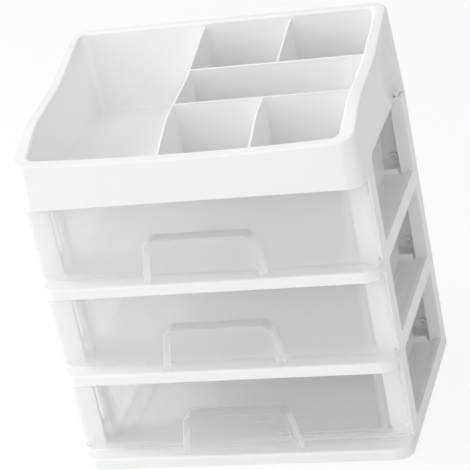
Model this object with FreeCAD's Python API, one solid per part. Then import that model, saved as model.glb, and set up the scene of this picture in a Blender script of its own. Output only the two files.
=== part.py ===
import FreeCAD, Part
import math
import os
from FreeCAD import Vector

# Desk drawer organizer: three clear drawers in a white frame under an open six-pocket tray.
# Millimetres, +Z up, the drawers open towards -Y, origin on the desk under the middle.

# Overall sizes
width = 245.0
depth = 172.0
tier_pitch = 70.0
corner_radius = 12.0
tiers = ("lower", "middle", "upper")
shelf_names = {"lower": "base_shelf", "middle": "middle_shelf", "upper": "upper_shelf"}

# Walls and fits
frame_wall = 2.4
shelf_wall = 2.2
tray_wall = 2.2
drawer_wall = 2.0
fit = 0.3
slip = 0.1

# Rubber feet under the base shelf
foot_diameter = 14.0
foot_height = 2.0
foot_stand = 0.8
foot_inset_x = 18.5
foot_inset_y = 14.0
foot_edge = 0.5
foot_boss_wall = 2.0

# Shelves
lip_depth = 17.5
lip_height = 8.0
lip_round = 2.0
plate_height = 10.9
skirt_gap = 0.6
shelf_rib = 1.6
shelf_rib_gap = 2.5
shelf_ribs_along = 3
shelf_ribs_across = 2
runner_width = 13.5
runner_height = 1.2
runner_inset = 25.25
stop_rib_inset = 26.0
stop_rib_height = 4.0
stop_rib_width = 1.8
stop_rib_end = 11.0

# Side frames
rail_height = 13.0
rail_ledge = 3.4
rail_ledge_wall = 2.0
front_post = 16.0
rear_post = 25.0
front_flange = 15.5
window_flange = 9.2
window_rim = 3.0
rear_flange = 23.5
window_round = 3.0

# Lock pins that hold each shelf to the side frames
pin_head_diameter = 8.4
pin_head_height = 1.2
pin_ring_diameter = 5.4
pin_ring_depth = 0.5
pin_shank_diameter = 4.0
pin_tip = 2.0
pin_height = 15.7
front_pin_inset = 11.0
rear_pin_inset = 17.5
lug_width = 8.0
lug_wall = 2.4

# Back panels
panel_wall = 2.4
panel_border = 11.0
panel_emboss = 0.8
panel_corner = 5.0

# Drawers
drawer_reveal = 1.0
front_gap = 0.8
front_top_gap = 1.0
front_set_back = 12.5
front_wall = 2.2
front_return = 4.9
front_low_corner = 6.0
front_top_corner = 3.0
front_edge_round = 0.9
body_half_width = 105.0
body_draft = 1.5
body_height = 51.5
body_corner = 6.0
body_floor_round = 5.0
body_rim = 1.5
body_rim_height = 2.0
body_rear_gap = 1.5

# Handle arch on each drawer front
handle_reach = 10.0
handle_height = 32.0
handle_foot_half = 44.0
handle_top_half = 38.5
handle_corner = 8.0
handle_wall = 1.8
handle_band = 7.5
handle_leg = 4.5
handle_inner_corner = 6.5

# Top tray
tray_taper = 2.8
tray_floor = 3.4
rim_side = 8.0
rim_front = 5.5
rim_rear = 5.9
rim_round = 1.9
rim_wall = 2.4
tub_draft = 3.8
tub_corner = 5.0
tub_floor_round = 3.0
divider_wall = 1.6
main_divider_x = -16.5
small_divider_x = 48.0
front_row = -24.0
rear_row = 24.0
skirt_lift = 7.5
skirt_cut_top = 6.0
bead_radius = 1.2
recess_depth = 5.0
recess_front = 19.0
recess_toe = 13.0
recess_rear = 14.5
recess_lean = 13.0
tongue_length = 6.0
tongue_wall = 2.2
tongue_root = 8.0

# The tray's wavy rim: heights above the foot of its skirt at the front and at the back, and
# between them rounded bends, each with its share of the depth, its share of the rise and its radius
rim_front_height = 34.2
rim_back_height = 66.1
rim_bends = ((-0.477, 0.0, 22.0), (-0.262, 0.395, 80.0), (0.07, 0.505, 120.0), (0.343, 0.845, 80.0))
rim_front_dip = 3.6
divider_drop = 3.2
divider_front_dip = 1.6

# Places worked out from the sizes above
half_width = width / 2
front = -depth / 2
rear = depth / 2
post_front = front + lip_depth + fit
skin_inside = half_width - frame_wall
rear_inside = rear - frame_wall
plate_half = skin_inside - fit
plate_rear = rear_inside - fit
plate_front = post_front + slip
window_front = post_front + front_post
window_rear = rear - rear_post
tray_foot = foot_stand + len(tiers) * tier_pitch
frame_top = tray_foot - fit
drawer_face = front + front_set_back
front_pin_x = half_width - front_pin_inset
rear_pin_x = half_width - rear_pin_inset
rear_panel_face = rear_inside - slip
panel_front = rear_panel_face - panel_wall
stop_rib_front = rear - stop_rib_inset
body_rear = stop_rib_front - body_rear_gap
tray_top = tray_foot + rim_back_height + 5.0
front_lug_rear = post_front + frame_wall + fit + lug_wall
rear_lug_front = panel_front - fit - lug_wall


def tier_base(tier):
    """Height of the underside of a tier's shelf above the desk."""
    return foot_stand + tiers.index(tier) * tier_pitch


def block(x0, x1, y0, y1, z0, z1):
    return Part.makeBox(x1 - x0, y1 - y0, z1 - z0, Vector(x0, y0, z0))


def rounded_outline(points, radii):
    """Closed wire through corner points in one plane, each corner rounded by its own radius."""
    count = len(points)
    starts = []
    ends = []
    middles = []
    for i, corner in enumerate(points):
        before = (points[i - 1] - corner).normalize()
        after = (points[(i + 1) % count] - corner).normalize()
        half_angle = before.getAngle(after) / 2
        reach = radii[i] / math.tan(half_angle)
        inward = (before + after).normalize()
        centre = corner + inward * (radii[i] / math.sin(half_angle))
        starts.append(corner + before * reach)
        ends.append(corner + after * reach)
        middles.append(centre - inward * radii[i])
    edges = []
    for i in range(count):
        if radii[i] > 0:
            edges.append(Part.Arc(starts[i], middles[i], ends[i]).toShape())
        following = starts[(i + 1) % count]
        if (following - ends[i]).Length > 1e-6:
            edges.append(Part.makeLine(ends[i], following))
    return Part.Wire(edges)


def plan_outline(x0, x1, y0, y1, z, front_radius, rear_radius):
    """Rounded rectangle in plan, with one radius at the front corners and one at the rear."""
    points = [Vector(x0, y0, z), Vector(x1, y0, z), Vector(x1, y1, z), Vector(x0, y1, z)]
    return rounded_outline(points, [front_radius, front_radius, rear_radius, rear_radius])


def plan_prism(x0, x1, y0, y1, z0, z1, front_radius, rear_radius):
    outline = plan_outline(x0, x1, y0, y1, z0, front_radius, rear_radius)
    return Part.Face(outline).extrude(Vector(0, 0, z1 - z0))


def drafted_box(low, high, z0, z1, corner):
    """Box with leaning walls between two rectangles (half width, front y, rear y), corners rounded."""
    low_half, low_front, low_rear = low
    high_half, high_front, high_rear = high
    box = Part.makeWedge(-low_half, z0, -low_rear, -high_rear, -high_half,
                         low_half, z1, -low_front, -high_front, high_half)
    box.rotate(Vector(0, 0, 0), Vector(1, 0, 0), 90)
    upright = [e for e in box.Edges if e.BoundBox.ZLength > (z1 - z0) / 2]
    return box.makeFillet(corner, upright)


def face_prism(points, radii, y0, y1):
    """Outline drawn in the front view (x, z) and carried from y0 to y1."""
    corners = [Vector(x, y0, z) for x, z in points]
    return Part.Face(rounded_outline(corners, radii)).extrude(Vector(0, y1 - y0, 0))


def along_y(radius, length, x, y, z):
    return Part.makeCylinder(radius, length, Vector(x, y, z), Vector(0, 1, 0))


def mirrored(shape):
    return shape.mirror(Vector(0, 0, 0), Vector(1, 0, 0))


def joined(shapes):
    return shapes[0].multiFuse(shapes[1:]).removeSplitter()


def flat_edges(shape, z):
    """The edges of a solid that lie at one height."""
    return [e for e in shape.Edges if abs(e.BoundBox.ZMin - z) < 1e-6 and abs(e.BoundBox.ZMax - z) < 1e-6]


def spread(first, last, count):
    return [first + (last - first) * i / (count - 1) for i in range(count)]


def lock_pin(grip):
    """Push-in pin along +Y: dished head with its seat at y = 0, shank through the grip, tapered tip."""
    head_radius = pin_head_diameter / 2
    dish_radius = pin_ring_diameter / 2
    shank_radius = pin_shank_diameter / 2
    profile = [(0, pin_ring_depth - pin_head_height), (dish_radius, pin_ring_depth - pin_head_height),
               (dish_radius, -pin_head_height), (head_radius, -pin_head_height), (head_radius, 0),
               (shank_radius, 0), (shank_radius, grip), (shank_radius / 2, grip + pin_tip), (0, grip + pin_tip)]
    wire = Part.makePolygon([Vector(r, y, 0) for r, y in profile + profile[:1]])
    return Part.Face(wire).revolve(Vector(0, 0, 0), Vector(0, 1, 0), 360)


def pin_hole(x, y, z, length):
    return along_y(pin_shank_diameter / 2 + slip, length, x, y, z)


def front_pins(tier):
    """The two pins through the front posts' flanges, heads sunk in the face behind the drawer front."""
    z = tier_base(tier) + pin_height
    pins = []
    for x in (-front_pin_x, front_pin_x):
        pin = lock_pin(front_lug_rear - post_front - pin_head_height)
        pin.translate(Vector(x, post_front + pin_head_height, z))
        pins.append(pin)
    return Part.makeCompound(pins)


def rear_pins(tier):
    """The two pins from the back, each through the side frame, the back panel and the shelf's lug."""
    z = tier_base(tier) + pin_height
    pins = []
    for x in (-rear_pin_x, rear_pin_x):
        pin = lock_pin(rear - pin_head_height - rear_lug_front)
        pin.rotate(Vector(0, 0, 0), Vector(0, 0, 1), 180)
        pin.translate(Vector(x, rear - pin_head_height, z))
        pins.append(pin)
    return Part.makeCompound(pins)


def shelf_lug(x, y, base):
    """Upright round-topped tab that a lock pin goes through."""
    half = lug_width / 2
    foot = base + plate_height - shelf_wall
    top = base + pin_height + half
    points = [(x - half, foot), (x + half, foot), (x + half, top), (x - half, top)]
    corner = half - 0.4
    return face_prism(points, [0, 0, corner, corner], y, y + lug_wall)


def shelf(tier):
    """Moulded shelf: full-width front lip with a ledge, hollow ribbed plate, runners, stop rib and lugs."""
    base = tier_base(tier)
    plate_top = base + plate_height
    lip_top = base + lip_height
    lip_rear = front + lip_depth
    foot = base + skirt_gap
    rear_corner = corner_radius - frame_wall - fit
    lip = plan_prism(-half_width, half_width, front, lip_rear, base, lip_top, corner_radius, 0)
    rounded = [e for e in flat_edges(lip, lip_top) if e.BoundBox.YMin < lip_rear - 0.01]
    lip = lip.makeFillet(lip_round, rounded)
    neck = block(-plate_half, plate_half, lip_rear - 1, plate_front + 1, foot, lip_top)
    plate = plan_prism(-plate_half, plate_half, plate_front, plate_rear, foot, plate_top, 0, rear_corner)
    outer = joined([lip, neck, plate])

    inner_half = plate_half - shelf_wall
    lip_room = plan_prism(-half_width + shelf_wall, half_width - shelf_wall, front + shelf_wall,
                          lip_rear - shelf_wall, base - 1, lip_top - shelf_wall, corner_radius - shelf_wall, 0)
    neck_room = block(-inner_half, inner_half, lip_rear - shelf_wall - 1, plate_front + shelf_wall + 1,
                      base - 1, lip_top - shelf_wall)
    plate_room = plan_prism(-inner_half, inner_half, plate_front + shelf_wall, plate_rear - shelf_wall,
                            base - 1, plate_top - shelf_wall, 0, rear_corner - shelf_wall)
    room = joined([lip_room, neck_room, plate_room])

    ribs = []
    rib_foot = base + shelf_rib_gap
    for x in spread(-inner_half, inner_half, shelf_ribs_along + 2)[1:-1]:
        ribs.append(block(x - shelf_rib / 2, x + shelf_rib / 2, front, plate_rear, rib_foot, plate_top))
    for y in spread(plate_front, plate_rear, shelf_ribs_across + 2)[1:-1]:
        ribs.append(block(-inner_half, inner_half, y - shelf_rib / 2, y + shelf_rib / 2, rib_foot, plate_top))
    ribs = joined(ribs).common(room)

    extras = [outer.cut(room), ribs]
    runner_end = stop_rib_front - runner_width
    for side in (-1, 1):
        x = side * (half_width - runner_inset)
        extras.append(plan_prism(x - runner_width / 2, x + runner_width / 2, plate_front + 4, runner_end,
                                 plate_top - 1, plate_top + runner_height, runner_width / 2.2, runner_width / 2.2))
        extras.append(shelf_lug(side * front_pin_x, front_lug_rear - lug_wall, base))
        extras.append(shelf_lug(side * rear_pin_x, rear_lug_front, base))
    extras.append(block(stop_rib_end - half_width, half_width - stop_rib_end, stop_rib_front,
                        stop_rib_front + stop_rib_width, plate_top - 1, plate_top + stop_rib_height))
    if tier == "lower":
        extras += foot_bosses()
    whole = joined(extras)
    for side in (-1, 1):
        whole = whole.cut(pin_hole(side * front_pin_x, post_front, base + pin_height, frame_wall + 2 * lug_wall))
        whole = whole.cut(pin_hole(side * rear_pin_x, panel_front - 2 * lug_wall, base + pin_height, 2 * lug_wall))
    if tier == "lower":
        for x, y in foot_places():
            socket = Part.makeCylinder(foot_diameter / 2 + slip, foot_height, Vector(x, y, 0))
            whole = whole.cut(socket)
    return whole


def foot_places():
    x = half_width - foot_inset_x
    return [(-x, front + foot_inset_y), (x, front + foot_inset_y), (-x, rear - foot_inset_y), (x, rear - foot_inset_y)]


def foot_bosses():
    """Round sockets under the base shelf that the rubber feet sit in."""
    bosses = []
    for x, y in foot_places():
        top = foot_stand + (lip_height if y < 0 else plate_height) - shelf_wall / 2
        radius = foot_diameter / 2 + foot_boss_wall
        bosses.append(Part.makeCylinder(radius, top - foot_stand, Vector(x, y, foot_stand)))
    return bosses


def rubber_foot(x, y):
    """Flat anti-slip pad with its edge broken where it meets the desk."""
    pad = Part.makeCylinder(foot_diameter / 2, foot_height, Vector(x, y, 0))
    return pad.makeChamfer(foot_edge, flat_edges(pad, 0))


def right_side_frame():
    """Moulded side: bent-round skin with three windows, a ledge on each rail and flanges on the posts."""
    inner_corner = corner_radius - frame_wall
    flange_edge = half_width - front_flange
    rear_edge = half_width - rear_flange
    outline = [Vector(flange_edge, post_front, foot_stand), Vector(half_width, post_front, foot_stand),
               Vector(half_width, rear, foot_stand), Vector(rear_edge, rear, foot_stand),
               Vector(rear_edge, rear_inside, foot_stand), Vector(skin_inside, rear_inside, foot_stand),
               Vector(skin_inside, post_front + frame_wall, foot_stand),
               Vector(flange_edge, post_front + frame_wall, foot_stand)]
    radii = [0, 1.0, corner_radius, 0, 0, inner_corner, 0, 0]
    channel = Part.Face(rounded_outline(outline, radii)).extrude(Vector(0, 0, frame_top - foot_stand))

    parts = []
    cuts = []
    for tier in tiers:
        base = tier_base(tier)
        top = base + tier_pitch if tier != tiers[-1] else frame_top + 2 * window_round
        sill = base + rail_height
        corners = [Vector(skin_inside - 1, window_front, sill), Vector(skin_inside - 1, window_rear, sill),
                   Vector(skin_inside - 1, window_rear, top), Vector(skin_inside - 1, window_front, top)]
        window = Part.Face(rounded_outline(corners, [window_round] * 4))
        cuts.append(window.extrude(Vector(frame_wall + 2, 0, 0)))
        over_shelf = base + plate_height + slip
        cuts.append(block(flange_edge - 1, skin_inside, post_front - 1, post_front + frame_wall + 1,
                          base - slip, over_shelf))
        under_next = min(base + tier_pitch + skirt_gap - slip, frame_top)
        parts.append(block(half_width - rail_ledge, skin_inside + 0.5, post_front + frame_wall - 0.5,
                           window_rear + 0.5, sill - rail_ledge_wall, sill))
        parts.append(block(skin_inside - window_rim, skin_inside + 0.5, window_front - frame_wall,
                           window_front, sill - rail_ledge_wall, under_next))
        parts.append(block(half_width - window_flange, skin_inside + 0.5, window_rear,
                           window_rear + frame_wall, over_shelf, under_next))
    body = channel.cut(joined(cuts[::2])).cut(joined(cuts[1::2]))
    body = joined([body] + parts)
    for tier in tiers:
        z = tier_base(tier) + pin_height
        body = body.cut(pin_hole(front_pin_x, post_front - 1, z, frame_wall + 2))
        body = body.cut(pin_hole(rear_pin_x, rear_inside - 1, z, frame_wall + 2))
        recess = pin_head_diameter / 2 + fit
        body = body.cut(along_y(recess, pin_head_height + 1, front_pin_x, post_front - 1, z))
        body = body.cut(along_y(recess, pin_head_height + 1, rear_pin_x, rear - pin_head_height, z))
    return body


def back_panel(tier):
    """Flat panel behind one drawer, with a field sunk into its back inside a rounded border."""
    base = tier_base(tier)
    low = base + plate_height + slip
    high = min(base + tier_pitch + skirt_gap - slip, frame_top)
    half = skin_inside - (corner_radius - frame_wall) + 0.8
    points = [(-half, low), (half, low), (half, high), (-half, high)]
    plate = face_prism(points, [1.0] * 4, panel_front, rear_panel_face)
    edge = half - (half_width - rear_flange) + panel_border
    field = [(-half + edge, low + panel_border), (half - edge, low + panel_border),
             (half - edge, high - panel_border), (-half + edge, high - panel_border)]
    plate = plate.cut(face_prism(field, [panel_corner] * 4, rear_panel_face - panel_emboss, rear))
    for side in (-1, 1):
        plate = plate.cut(pin_hole(side * rear_pin_x, panel_front - 1, base + pin_height, panel_wall + 2))
    return plate


def drawer_handle(low):
    """Arched finger pull in front of the drawer: a thin bent web with a deeper band along its face."""
    high = low + handle_height
    lean = (handle_foot_half - handle_top_half) / handle_height

    def arch(side_inset, top_inset, corner, y0, y1):
        top = high - top_inset
        foot_half = handle_foot_half - side_inset
        top_half = foot_half - lean * (top - low)
        points = [(-foot_half, low), (foot_half, low), (top_half, top), (-top_half, top)]
        return face_prism(points, [0, 0, corner, corner], y0, y1)

    face = drawer_face - handle_reach
    root = drawer_face + front_wall / 2
    outer = arch(0, 0, handle_corner, face, root)
    outer = outer.makeFillet(0.7, front_face_edges(outer, face, low))
    web_room = arch(handle_wall, handle_wall, handle_corner - handle_wall, face + handle_wall, root + 1)
    mouth = arch(handle_leg, handle_band, handle_inner_corner, face - 1, root + 1)
    return outer.cut(web_room).cut(mouth)


def front_face_edges(shape, y, low):
    """Edges in the plane of a front face, leaving out the one along its foot."""
    found = []
    for edge in shape.Edges:
        box = edge.BoundBox
        in_face = abs(box.YMin - y) < 1e-6 and abs(box.YMax - y) < 1e-6
        if in_face and box.ZMax > low + 1e-3:
            found.append(edge)
    return found


def drawer(tier):
    """Clear one-piece drawer: tapered bin, full-width front with turned-back edges, arched pull."""
    base = tier_base(tier)
    low = base + lip_height + front_gap
    high = base + tier_pitch - front_top_gap
    half = half_width - drawer_reveal
    front_points = [(-half, low), (half, low), (half, high), (-half, high)]
    front_radii = [front_low_corner, front_low_corner, front_top_corner, front_top_corner]
    cap = face_prism(front_points, front_radii, drawer_face, drawer_face + front_return)
    cap = cap.makeFillet(front_edge_round, front_face_edges(cap, drawer_face, low - 1))
    inset = drawer_wall
    room_points = [(-half + inset, low + inset), (half - inset, low + inset),
                   (half - inset, high - inset), (-half + inset, high - inset)]
    room_radii = [max(r - inset, 0.5) for r in front_radii]
    cap_room = face_prism(room_points, room_radii, drawer_face + front_wall, drawer_face + front_return + 1)

    floor = base + plate_height + runner_height + fit
    rim = floor + body_height
    start = drawer_face + front_wall / 2
    low_rear = body_rear - body_draft
    bin_outer = drafted_box((body_half_width - body_draft, start, low_rear),
                            (body_half_width, start, body_rear), floor, rim, body_corner)
    bin_outer = bin_outer.makeFillet(body_floor_round, flat_edges(bin_outer, floor))
    rim_half = body_half_width + body_rim
    rim_bead = plan_prism(-rim_half, rim_half, start, body_rear + body_rim / 2, rim - body_rim_height, rim,
                          body_corner, body_corner)
    inner_front = drawer_face + front_wall
    wall = drawer_wall
    bin_room = drafted_box((body_half_width - body_draft - wall, inner_front, low_rear - wall),
                           (body_half_width - wall, inner_front, body_rear - wall),
                           floor + wall, rim + 0.01, body_corner - wall)
    bin_room = bin_room.makeFillet(body_floor_round - wall, flat_edges(bin_room, floor + wall))
    shell = joined([cap.cut(cap_room), bin_outer, rim_bead])
    shell = shell.cut(bin_room)
    return joined([shell, drawer_handle(low)])


def under_wave(drop, front_dip):
    """Solid below the tray's wavy rim, lowered by a drop; towards the middle its front end dips."""
    rise = rim_back_height - rim_front_height
    low = tray_foot - 2 * tongue_length
    side = half_width + 1
    sections = []
    for x, dip in ((-side, 0), (0, front_dip), (side, 0)):
        front_end = tray_foot + rim_front_height - drop
        back_end = front_end + rise
        bends = []
        radii = [0]
        for share, part, radius in rim_bends:
            bends.append(Vector(x, share * depth, front_end + part * rise - dip * (1 - part) ** 4))
            radii.append(radius)
        points = [Vector(x, front - 1, front_end - dip), *bends, Vector(x, rear + 1, back_end),
                  Vector(x, rear + 1, low), Vector(x, front - 1, low)]
        sections.append(rounded_outline(points, radii + [0, 0, 0]))
    return Part.makeLoft(sections, True, False)


def skirt_solid(inset, z0, z1):
    """The tray's tapered outside, inset by a wall thickness, between two heights."""
    span = tray_top - tray_foot
    levels = []
    for z in (z0, z1):
        lean = tray_taper * (z - tray_foot) / span + inset
        levels.append((half_width - lean, front + lean, rear - lean))
    return drafted_box(levels[0], levels[1], z0, z1, corner_radius - inset)


def tub_solid(grow, floor):
    """The tray's tapered pocket from its floor up, grown by a wall thickness."""
    top_half = half_width - tray_taper - rim_side + grow
    top_front = front + tray_taper * 0.5 + rim_front - grow
    top_rear = rear - tray_taper - rim_rear + grow
    low = (top_half - tub_draft, top_front + tub_draft, top_rear - tub_draft)
    high = (top_half, top_front, top_rear)
    return drafted_box(low, high, floor, tray_top, tub_corner + grow)


def lift_opening():
    """Low lift of the right-hand skirt over the window, so that the drawer's side shows."""
    near = half_width - tray_taper - rim_side + tray_wall + fit
    far = half_width + 5
    lift_rear = recess_front + recess_toe
    corners = [Vector(near, window_front, tray_foot - 9), Vector(near, lift_rear, tray_foot - 9),
               Vector(near, lift_rear, tray_foot + skirt_lift),
               Vector(near, window_front, tray_foot + skirt_lift)]
    return Part.Face(rounded_outline(corners, [0.5, 0.5, 0.5, skirt_lift - 1])).extrude(Vector(far - near, 0, 0))


def side_recess(grow, depth):
    """Room of the right-hand grip recess under the rim, grown by a wall, from a depth outwards."""
    near = half_width - tray_taper / 2 - depth
    far = half_width + 5
    low = tray_foot - 9
    toe = recess_front + recess_toe - grow
    heel = rear - recess_rear + grow
    front_top = tray_foot + rim_back_height
    corners = [Vector(near, toe, low), Vector(near, heel, low), Vector(near, heel, tray_foot + skirt_lift),
               Vector(near, heel - recess_lean - grow, front_top), Vector(near, recess_front - 6 - grow, front_top),
               Vector(near, recess_front + 4 - grow, tray_foot + 2 * skirt_lift),
               Vector(near, toe, tray_foot + skirt_lift)]
    room = Part.Face(rounded_outline(corners, [0, 0, 30, 0, 0, 12, 0])).extrude(Vector(far - near, 0, 0))
    return room.common(under_wave(skirt_cut_top - grow, rim_front_dip))


def recess_walls():
    """Walls that close the recess towards the tub, within the skirt."""
    box = side_recess(tray_wall, recess_depth + tray_wall).cut(side_recess(0, recess_depth))
    return box.common(skirt_solid(0, tray_foot, tray_top))


def tray_tongues():
    """Tongues under the skirt that drop inside the posts and keep the tray from sliding."""
    outside = skin_inside - fit
    recess_inside = half_width - recess_depth - tray_wall
    spans = [(post_front + frame_wall + fit, window_front - frame_wall - fit, tongue_root,
              outside - tongue_wall, half_width - 1.2),
             (window_rear + frame_wall + fit, rear - corner_radius, tongue_wall, recess_inside, outside)]
    tongues = []
    for y0, y1, height, x0, x1 in spans:
        top = tray_foot + height
        corners = [Vector(outside - tongue_wall, y0, tray_foot - tongue_length),
                   Vector(outside - tongue_wall, y1, tray_foot - tongue_length),
                   Vector(outside - tongue_wall, y1, top), Vector(outside - tongue_wall, y0, top)]
        blade = Part.Face(rounded_outline(corners, [2.5, 2.5, 0.5, 0.5])).extrude(Vector(tongue_wall, 0, 0))
        root = block(x0, x1, y0 + 1, y1 - 1, tray_foot + slip, top)
        tongue = joined([blade, root])
        tongues += [tongue, mirrored(tongue)]
    return tongues


def top_tray():
    """Moulded tray: tapered skirt, wavy rolled rim, drafted tub with five dividers, cut-away sides."""
    outside = skirt_solid(0, tray_foot, tray_top).common(under_wave(0, rim_front_dip))
    floor = tray_foot + tray_floor
    pocket = tub_solid(0, floor)
    pocket = pocket.makeFillet(tub_floor_round, flat_edges(pocket, floor))
    body = outside.cut(pocket)
    body = body.makeFillet(rim_round, rim_edges(body))

    under_rim = under_wave(rim_wall, rim_front_dip)
    inside = skirt_solid(tray_wall, tray_foot - 1, tray_top).common(under_rim)
    tub_outside = tub_solid(tray_wall, floor - tray_wall)
    body = body.cut(inside.cut(tub_outside))

    tops = under_wave(divider_drop, divider_front_dip)
    half_wall = divider_wall / 2
    right = half_width
    walls = [block(main_divider_x - half_wall, main_divider_x + half_wall, front, rear, floor - 1, tray_top)]
    for y in (front_row, rear_row):
        walls.append(block(main_divider_x, right, y - half_wall, y + half_wall, floor - 1, tray_top))
    walls.append(block(small_divider_x - half_wall, small_divider_x + half_wall, front, front_row, floor - 1, tray_top))
    walls.append(block(small_divider_x - half_wall, small_divider_x + half_wall, rear_row, rear, floor - 1, tray_top))
    dividers = joined(walls).common(tops).common(tub_solid(tray_wall / 2, floor - tray_wall / 2))
    body = joined([body, dividers])
    walls = recess_walls()
    body = joined([body, walls, mirrored(walls)])
    for cut in (lift_opening(), side_recess(0, recess_depth)):
        body = body.cut(cut).cut(mirrored(cut))
    return joined([body, *tray_tongues(), *skirt_beads()])


def skirt_beads():
    """Half-round beads along the lifted edges of the skirt."""
    z = tray_foot + skirt_lift + bead_radius
    x = half_width - tray_taper * (z - tray_foot) / (tray_top - tray_foot) - bead_radius * 0.8
    start = window_front + skirt_lift
    length = recess_front + recess_toe - start - bead_radius
    bead = along_y(bead_radius, length, x, start, z)
    return [bead, mirrored(bead)]


def rim_edges(body):
    """Both edges of the wavy rim: what bounds the strip of faces that look up along it."""
    low = tray_foot + rim_front_height - 1
    edges = []
    for face in body.Faces:
        u0, u1, v0, v1 = face.ParameterRange
        looks_up = face.normalAt((u0 + u1) / 2, (v0 + v1) / 2).z > 0.7
        if looks_up and face.BoundBox.ZMin > low:
            edges += face.Edges
    return [e for e in edges if sum(e.isSame(other) for other in edges) == 1]


def save(shape, name):
    shape.exportStep("parts/" + name + ".step")
    solids = shape.Solids
    print(name, "solids", len(solids), "volume", round(sum(s.Volume for s in solids)), "valid", shape.isValid())


os.makedirs("parts", exist_ok=True)
for tier in tiers:
    save(shelf(tier), shelf_names[tier])
    save(drawer(tier), tier + "_drawer")
    save(back_panel(tier), tier + "_back_panel")
    save(front_pins(tier), tier + "_front_lock_pins")
    save(rear_pins(tier), tier + "_rear_lock_pins")
right_side = right_side_frame()
save(right_side, "right_side_frame")
save(mirrored(right_side), "left_side_frame")
save(top_tray(), "top_tray")
foot_names = ("front_left_foot", "front_right_foot", "rear_left_foot", "rear_right_foot")
for name, (x, y) in zip(foot_names, foot_places()):
    save(rubber_foot(x, y), name)
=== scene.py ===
import math

import bpy
import numpy as np
from mathutils import Matrix, Vector

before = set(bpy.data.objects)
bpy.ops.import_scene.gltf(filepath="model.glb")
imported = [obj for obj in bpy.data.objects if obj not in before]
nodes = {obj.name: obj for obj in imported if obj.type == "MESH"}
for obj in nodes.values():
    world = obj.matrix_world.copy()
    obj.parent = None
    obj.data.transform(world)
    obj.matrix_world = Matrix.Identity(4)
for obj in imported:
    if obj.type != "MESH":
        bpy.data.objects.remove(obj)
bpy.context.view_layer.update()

scene = bpy.context.scene

# Camera. A long lens from the front right, looking down on the tray, with the
# slight roll that the photograph has.
camera_place = (0.44353, -1.29838, 0.78514)
camera_turn = (64.353, 10.790, 13.734)
camera = bpy.data.objects.new("camera", bpy.data.cameras.new("camera"))
camera.data.sensor_width = 36.0
camera.data.lens = 161.73
camera.data.clip_end = 20.0
camera.location = camera_place
camera.rotation_euler = [math.radians(a) for a in camera_turn]
scene.collection.objects.link(camera)
scene.camera = camera

# Studio. A large white table and a white surround, seen as pure white by the camera,
# clear plastic and gloss, with broad soft lamps and the strongest one from the left.
scene.view_settings.view_transform = "Standard"


def table_card():
    """Matt white card with a faint paper grain; it keeps the object's shadow."""
    material = bpy.data.materials.new("table_card")
    material.use_nodes = True
    tree = material.node_tree
    shader = tree.nodes["Principled BSDF"]
    place = tree.nodes.new("ShaderNodeTexCoord")
    grain = tree.nodes.new("ShaderNodeTexNoise")
    grain.inputs["Scale"].default_value = 900.0
    tone = tree.nodes.new("ShaderNodeMapRange")
    tone.inputs["To Min"].default_value = 0.985
    tone.inputs["To Max"].default_value = 1.0
    tree.links.new(place.outputs["Object"], grain.inputs["Vector"])
    tree.links.new(grain.outputs["Fac"], tone.inputs["Value"])
    tree.links.new(tone.outputs["Result"], shader.inputs["Base Color"])
    shader.inputs["Roughness"].default_value = 0.9
    shader.inputs["Specular IOR Level"].default_value = 0.2
    ray = tree.nodes.new("ShaderNodeLightPath")
    through = tree.nodes.new("ShaderNodeMath")
    through.operation = "MAXIMUM"
    seen = tree.nodes.new("ShaderNodeMath")
    seen.operation = "MAXIMUM"
    share = tree.nodes.new("ShaderNodeMath")
    share.operation = "MULTIPLY"
    share.inputs[1].default_value = 0.85
    white = tree.nodes.new("ShaderNodeEmission")
    white.inputs["Strength"].default_value = 1.0
    blend = tree.nodes.new("ShaderNodeMixShader")
    tree.links.new(ray.outputs["Is Camera Ray"], seen.inputs[0])
    tree.links.new(ray.outputs["Is Glossy Ray"], through.inputs[0])
    tree.links.new(ray.outputs["Is Transmission Ray"], through.inputs[1])
    tree.links.new(through.outputs[0], seen.inputs[1])
    tree.links.new(seen.outputs[0], share.inputs[0])
    tree.links.new(share.outputs[0], blend.inputs[0])
    tree.links.new(shader.outputs[0], blend.inputs[1])
    tree.links.new(white.outputs[0], blend.inputs[2])
    tree.links.new(blend.outputs[0], tree.nodes["Material Output"].inputs["Surface"])
    return material


floor_half = 6.0
floor_mesh = bpy.data.meshes.new("table_top")
corners = [(-floor_half, -floor_half, 0), (floor_half, -floor_half, 0), (floor_half, floor_half, 0), (-floor_half, floor_half, 0)]
floor_mesh.from_pydata(corners, [], [(0, 1, 2, 3)])
floor = bpy.data.objects.new("table_top", floor_mesh)
floor.data.materials.append(table_card())
scene.collection.objects.link(floor)

world = bpy.data.worlds.new("surround")
scene.world = world
world.use_nodes = True
tree = world.node_tree
tree.nodes.clear()
path = tree.nodes.new("ShaderNodeLightPath")
seen = tree.nodes.new("ShaderNodeMath")
seen.operation = "MAXIMUM"
seen_through = tree.nodes.new("ShaderNodeMath")
seen_through.operation = "MAXIMUM"
ambient = tree.nodes.new("ShaderNodeBackground")
ambient.inputs["Color"].default_value = (1.0, 1.0, 1.0, 1.0)
ambient.inputs["Strength"].default_value = 0.25
white = tree.nodes.new("ShaderNodeBackground")
white.inputs["Color"].default_value = (1.0, 1.0, 1.0, 1.0)
white.inputs["Strength"].default_value = 1.0
mix = tree.nodes.new("ShaderNodeMixShader")
out = tree.nodes.new("ShaderNodeOutputWorld")
tree.links.new(path.outputs["Is Camera Ray"], seen.inputs[0])
tree.links.new(path.outputs["Is Glossy Ray"], seen.inputs[1])
tree.links.new(seen.outputs[0], seen_through.inputs[0])
tree.links.new(path.outputs["Is Transmission Ray"], seen_through.inputs[1])
tree.links.new(seen_through.outputs[0], mix.inputs[0])
tree.links.new(ambient.outputs[0], mix.inputs[1])
tree.links.new(white.outputs[0], mix.inputs[2])
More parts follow.
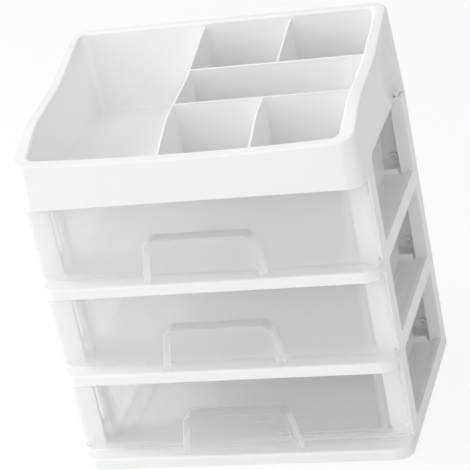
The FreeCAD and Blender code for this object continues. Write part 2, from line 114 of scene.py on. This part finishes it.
tree.links.new(mix.outputs[0], out.inputs[0])


def soft_lamp(name, place, size, power):
    """Square area lamp at a place, turned to face the middle of the object."""
    lamp = bpy.data.objects.new(name, bpy.data.lights.new(name, "AREA"))
    lamp.data.shape = "SQUARE"
    lamp.data.size = size
    lamp.data.energy = power
    lamp.location = place
    lamp.rotation_euler = (Vector((0.0, 0.0, 0.14)) - Vector(place)).to_track_quat("-Z", "Y").to_euler()
    scene.collection.objects.link(lamp)


soft_lamp("key_lamp", (-1.1, -1.5, 1.5), 1.2, 5.0)
soft_lamp("top_lamp", (0.0, 0.1, 1.9), 1.6, 8.0)
soft_lamp("front_lamp", (0.2, -2.0, 0.8), 1.4, 10.0)
soft_lamp("right_lamp", (1.8, -0.4, 0.9), 1.2, 5.0)
soft_lamp("left_lamp", (-1.8, -0.1, 0.9), 1.2, 32.0)

# Moulded plastic edges and grain. Every part is injection-moulded, so its sharp edges
# are broken by a fraction of a millimetre, and its faces have a faint grain and flow.


def make_smooth_by_angle(limit):
    """Geometry group that shades smooth wherever faces meet at less than a limit angle."""
    group = bpy.data.node_groups.new("smooth_by_angle", "GeometryNodeTree")
    group.interface.new_socket("Geometry", in_out="INPUT", socket_type="NodeSocketGeometry")
    group.interface.new_socket("Geometry", in_out="OUTPUT", socket_type="NodeSocketGeometry")
    begin = group.nodes.new("NodeGroupInput")
    end = group.nodes.new("NodeGroupOutput")
    smooth_faces = group.nodes.new("GeometryNodeSetShadeSmooth")
    smooth_faces.domain = "FACE"
    sharp_edges = group.nodes.new("GeometryNodeSetShadeSmooth")
    sharp_edges.domain = "EDGE"
    sharp_edges.inputs["Shade Smooth"].default_value = False
    angle = group.nodes.new("GeometryNodeInputMeshEdgeAngle")
    test = group.nodes.new("FunctionNodeCompare")
    test.operation = "GREATER_THAN"
    test.inputs[1].default_value = math.radians(limit)
    group.links.new(begin.outputs[0], smooth_faces.inputs["Geometry"])
    group.links.new(smooth_faces.outputs[0], sharp_edges.inputs["Geometry"])
    group.links.new(angle.outputs["Unsigned Angle"], test.inputs[0])
    group.links.new(test.outputs[0], sharp_edges.inputs["Selection"])
    group.links.new(sharp_edges.outputs[0], end.inputs[0])
    return group


smooth_by_angle = make_smooth_by_angle(40.0)


def moulded_edges(piece, radius, segments=2):
    """Welds the node's loose triangles, merges flat ones, smooths rounds and breaks sharp edges."""
    weld = piece.modifiers.new("weld", "WELD")
    weld.merge_threshold = 1e-6
    flat = piece.modifiers.new("flat", "DECIMATE")
    flat.decimate_type = "DISSOLVE"
    flat.angle_limit = math.radians(0.6)
    bevel = piece.modifiers.new("edge", "BEVEL")
    bevel.width = radius
    bevel.segments = segments
    bevel.limit_method = "ANGLE"
    bevel.angle_limit = math.radians(35)
    bevel.harden_normals = False
    smooth = piece.modifiers.new("smooth", "NODES")
    smooth.node_group = smooth_by_angle
    shade = piece.modifiers.new("shade", "WEIGHTED_NORMAL")
    shade.keep_sharp = True


def make_moulded_skin():
    """Shader group: tone and roughness that drift with the melt's flow, and a spark-eroded grain height."""
    group = bpy.data.node_groups.new("moulded_skin", "ShaderNodeTree")
    for name, value in (("Tone", 0.01), ("Roughness", 0.35), ("Roughness Spread", 0.06), ("Grain Size", 2200.0)):
        socket = group.interface.new_socket(name, in_out="INPUT", socket_type="NodeSocketFloat")
        socket.default_value = value
    for name in ("Tone", "Roughness", "Height"):
        group.interface.new_socket(name, in_out="OUTPUT", socket_type="NodeSocketFloat")
    begin = group.nodes.new("NodeGroupInput")
    end = group.nodes.new("NodeGroupOutput")
    place = group.nodes.new("ShaderNodeTexCoord")
    flow = group.nodes.new("ShaderNodeTexNoise")
    flow.inputs["Scale"].default_value = 14.0
    flow.inputs["Detail"].default_value = 3.0
    grain = group.nodes.new("ShaderNodeTexNoise")
    grain.inputs["Detail"].default_value = 2.0
    centred = group.nodes.new("ShaderNodeMath")
    centred.operation = "SUBTRACT"
    centred.inputs[1].default_value = 0.5
    drift = group.nodes.new("ShaderNodeMath")
    drift.operation = "MULTIPLY_ADD"
    drift.inputs[2].default_value = 1.0
    rough = group.nodes.new("ShaderNodeMath")
    rough.operation = "MULTIPLY_ADD"
    link = group.links.new
    link(place.outputs["Object"], flow.inputs["Vector"])
    link(place.outputs["Object"], grain.inputs["Vector"])
    link(begin.outputs["Grain Size"], grain.inputs["Scale"])
    link(flow.outputs["Fac"], centred.inputs[0])
    link(centred.outputs[0], drift.inputs[0])
    link(begin.outputs["Tone"], drift.inputs[1])
    link(centred.outputs[0], rough.inputs[0])
    link(begin.outputs["Roughness Spread"], rough.inputs[1])
    link(begin.outputs["Roughness"], rough.inputs[2])
    link(drift.outputs[0], end.inputs["Tone"])
    link(rough.outputs[0], end.inputs["Roughness"])
    link(grain.outputs["Fac"], end.inputs["Height"])
    return group


moulded_skin = make_moulded_skin()


def moulded_material(name, colour, roughness, grain_depth):
    """Material with the moulded skin's tone, roughness and grain; returns it with its tree and shader."""
    material = bpy.data.materials.new(name)
    material.use_nodes = True
    tree = material.node_tree
    shader = tree.nodes["Principled BSDF"]
    skin = tree.nodes.new("ShaderNodeGroup")
    skin.node_tree = moulded_skin
    skin.inputs["Roughness"].default_value = roughness
    tint = tree.nodes.new("ShaderNodeVectorMath")
    tint.operation = "SCALE"
    tint.inputs[0].default_value = colour
    bump = tree.nodes.new("ShaderNodeBump")
    bump.inputs["Strength"].default_value = 0.5
    bump.inputs["Distance"].default_value = grain_depth
    tree.links.new(skin.outputs["Tone"], tint.inputs["Scale"])
    tree.links.new(tint.outputs[0], shader.inputs["Base Color"])
    tree.links.new(skin.outputs["Roughness"], shader.inputs["Roughness"])
    tree.links.new(skin.outputs["Height"], bump.inputs["Height"])
    tree.links.new(bump.outputs["Normal"], shader.inputs["Normal"])
    return material, tree, shader


# White pieces: shelves, side frames, back panels, tray and lock pins. Satin white
# plastic moulded in one piece each, fixed by the lock pins.
white_plastic, tree, shader = moulded_material("white_plastic", (0.94, 0.94, 0.937), 0.36, 0.00002)
for name, node in nodes.items():
    if not name.endswith(("_drawer", "_foot")):
        node.data.materials.clear()
        node.data.materials.append(white_plastic)
        moulded_edges(node, 0.00035)

# Drawers. Three identical clear mouldings with a slightly milky body, each a front with
# an arched pull and a bin behind it; they slide between the shelves.


def clear_plastic(name, milk_and_painted_light):
    """Slightly milky clear plastic, denser where a wall is seen aslant; half of its milk is lit from behind.

    Lamps and bounced light pass through it to the inside.
    """
    material, tree, shader = moulded_material(name, (0.95, 0.95, 0.95), 0.12, 0.000005)
    behind = tree.nodes.new("ShaderNodeBsdfTranslucent")
    behind.inputs["Color"].default_value = (0.95, 0.95, 0.95, 1.0)
    milk = tree.nodes.new("ShaderNodeMixShader")
    milk.inputs[0].default_value = 0.35
    slant = tree.nodes.new("ShaderNodeLayerWeight")
    slant.inputs["Blend"].default_value = 0.5
    dense = tree.nodes.new("ShaderNodeMapRange")
    dense.inputs["To Min"].default_value = milk_and_painted_light
    dense.inputs["To Max"].default_value = 1.0
    ray = tree.nodes.new("ShaderNodeLightPath")
    soft = tree.nodes.new("ShaderNodeMath")
    soft.operation = "MAXIMUM"
    passing = tree.nodes.new("ShaderNodeMapRange")
    passing.inputs["To Min"].default_value = 1.0
    passing.inputs["To Max"].default_value = 0.08
    opacity = tree.nodes.new("ShaderNodeMath")
    opacity.operation = "MULTIPLY"
    clear = tree.nodes.new("ShaderNodeBsdfTransparent")
    body = tree.nodes.new("ShaderNodeMixShader")
    tree.links.new(shader.outputs[0], milk.inputs[1])
    tree.links.new(behind.outputs[0], milk.inputs[2])
    tree.links.new(slant.outputs["Facing"], dense.inputs["Value"])
    tree.links.new(ray.outputs["Is Shadow Ray"], soft.inputs[0])
    tree.links.new(ray.outputs["Is Diffuse Ray"], soft.inputs[1])
    tree.links.new(soft.outputs[0], passing.inputs["Value"])
    tree.links.new(dense.outputs["Result"], opacity.inputs[0])
    tree.links.new(passing.outputs["Result"], opacity.inputs[1])
    tree.links.new(opacity.outputs[0], body.inputs[0])
    tree.links.new(clear.outputs[0], body.inputs[1])
    tree.links.new(milk.outputs[0], body.inputs[2])
    tree.links.new(body.outputs[0], tree.nodes["Material Output"].inputs["Surface"])
    return material


# The three drawers are one plastic, but the milk is set per drawer: densest on the upper drawer and thinnest on
# the lower. This gives each drawer the brightness its light gives it, so the difference is painted light and
# shade on copies of one material, not a difference in the moulding.
for name, milk_and_painted_light in (("upper_drawer", 0.42), ("middle_drawer", 0.3), ("lower_drawer", 0.1)):
    node = nodes[name]
    node.data.materials.clear()
    node.data.materials.append(clear_plastic("clear_plastic_" + name.split("_")[0], milk_and_painted_light))
    moulded_edges(node, 0.0003)

# Feet. Four grey rubber pads pressed into sockets under the base shelf.
rubber, tree, shader = moulded_material("foot_rubber", (0.35, 0.35, 0.35), 0.7, 0.00005)
for name, node in nodes.items():
    if name.endswith("_foot"):
        node.data.materials.clear()
        node.data.materials.append(rubber)
        moulded_edges(node, 0.0003)
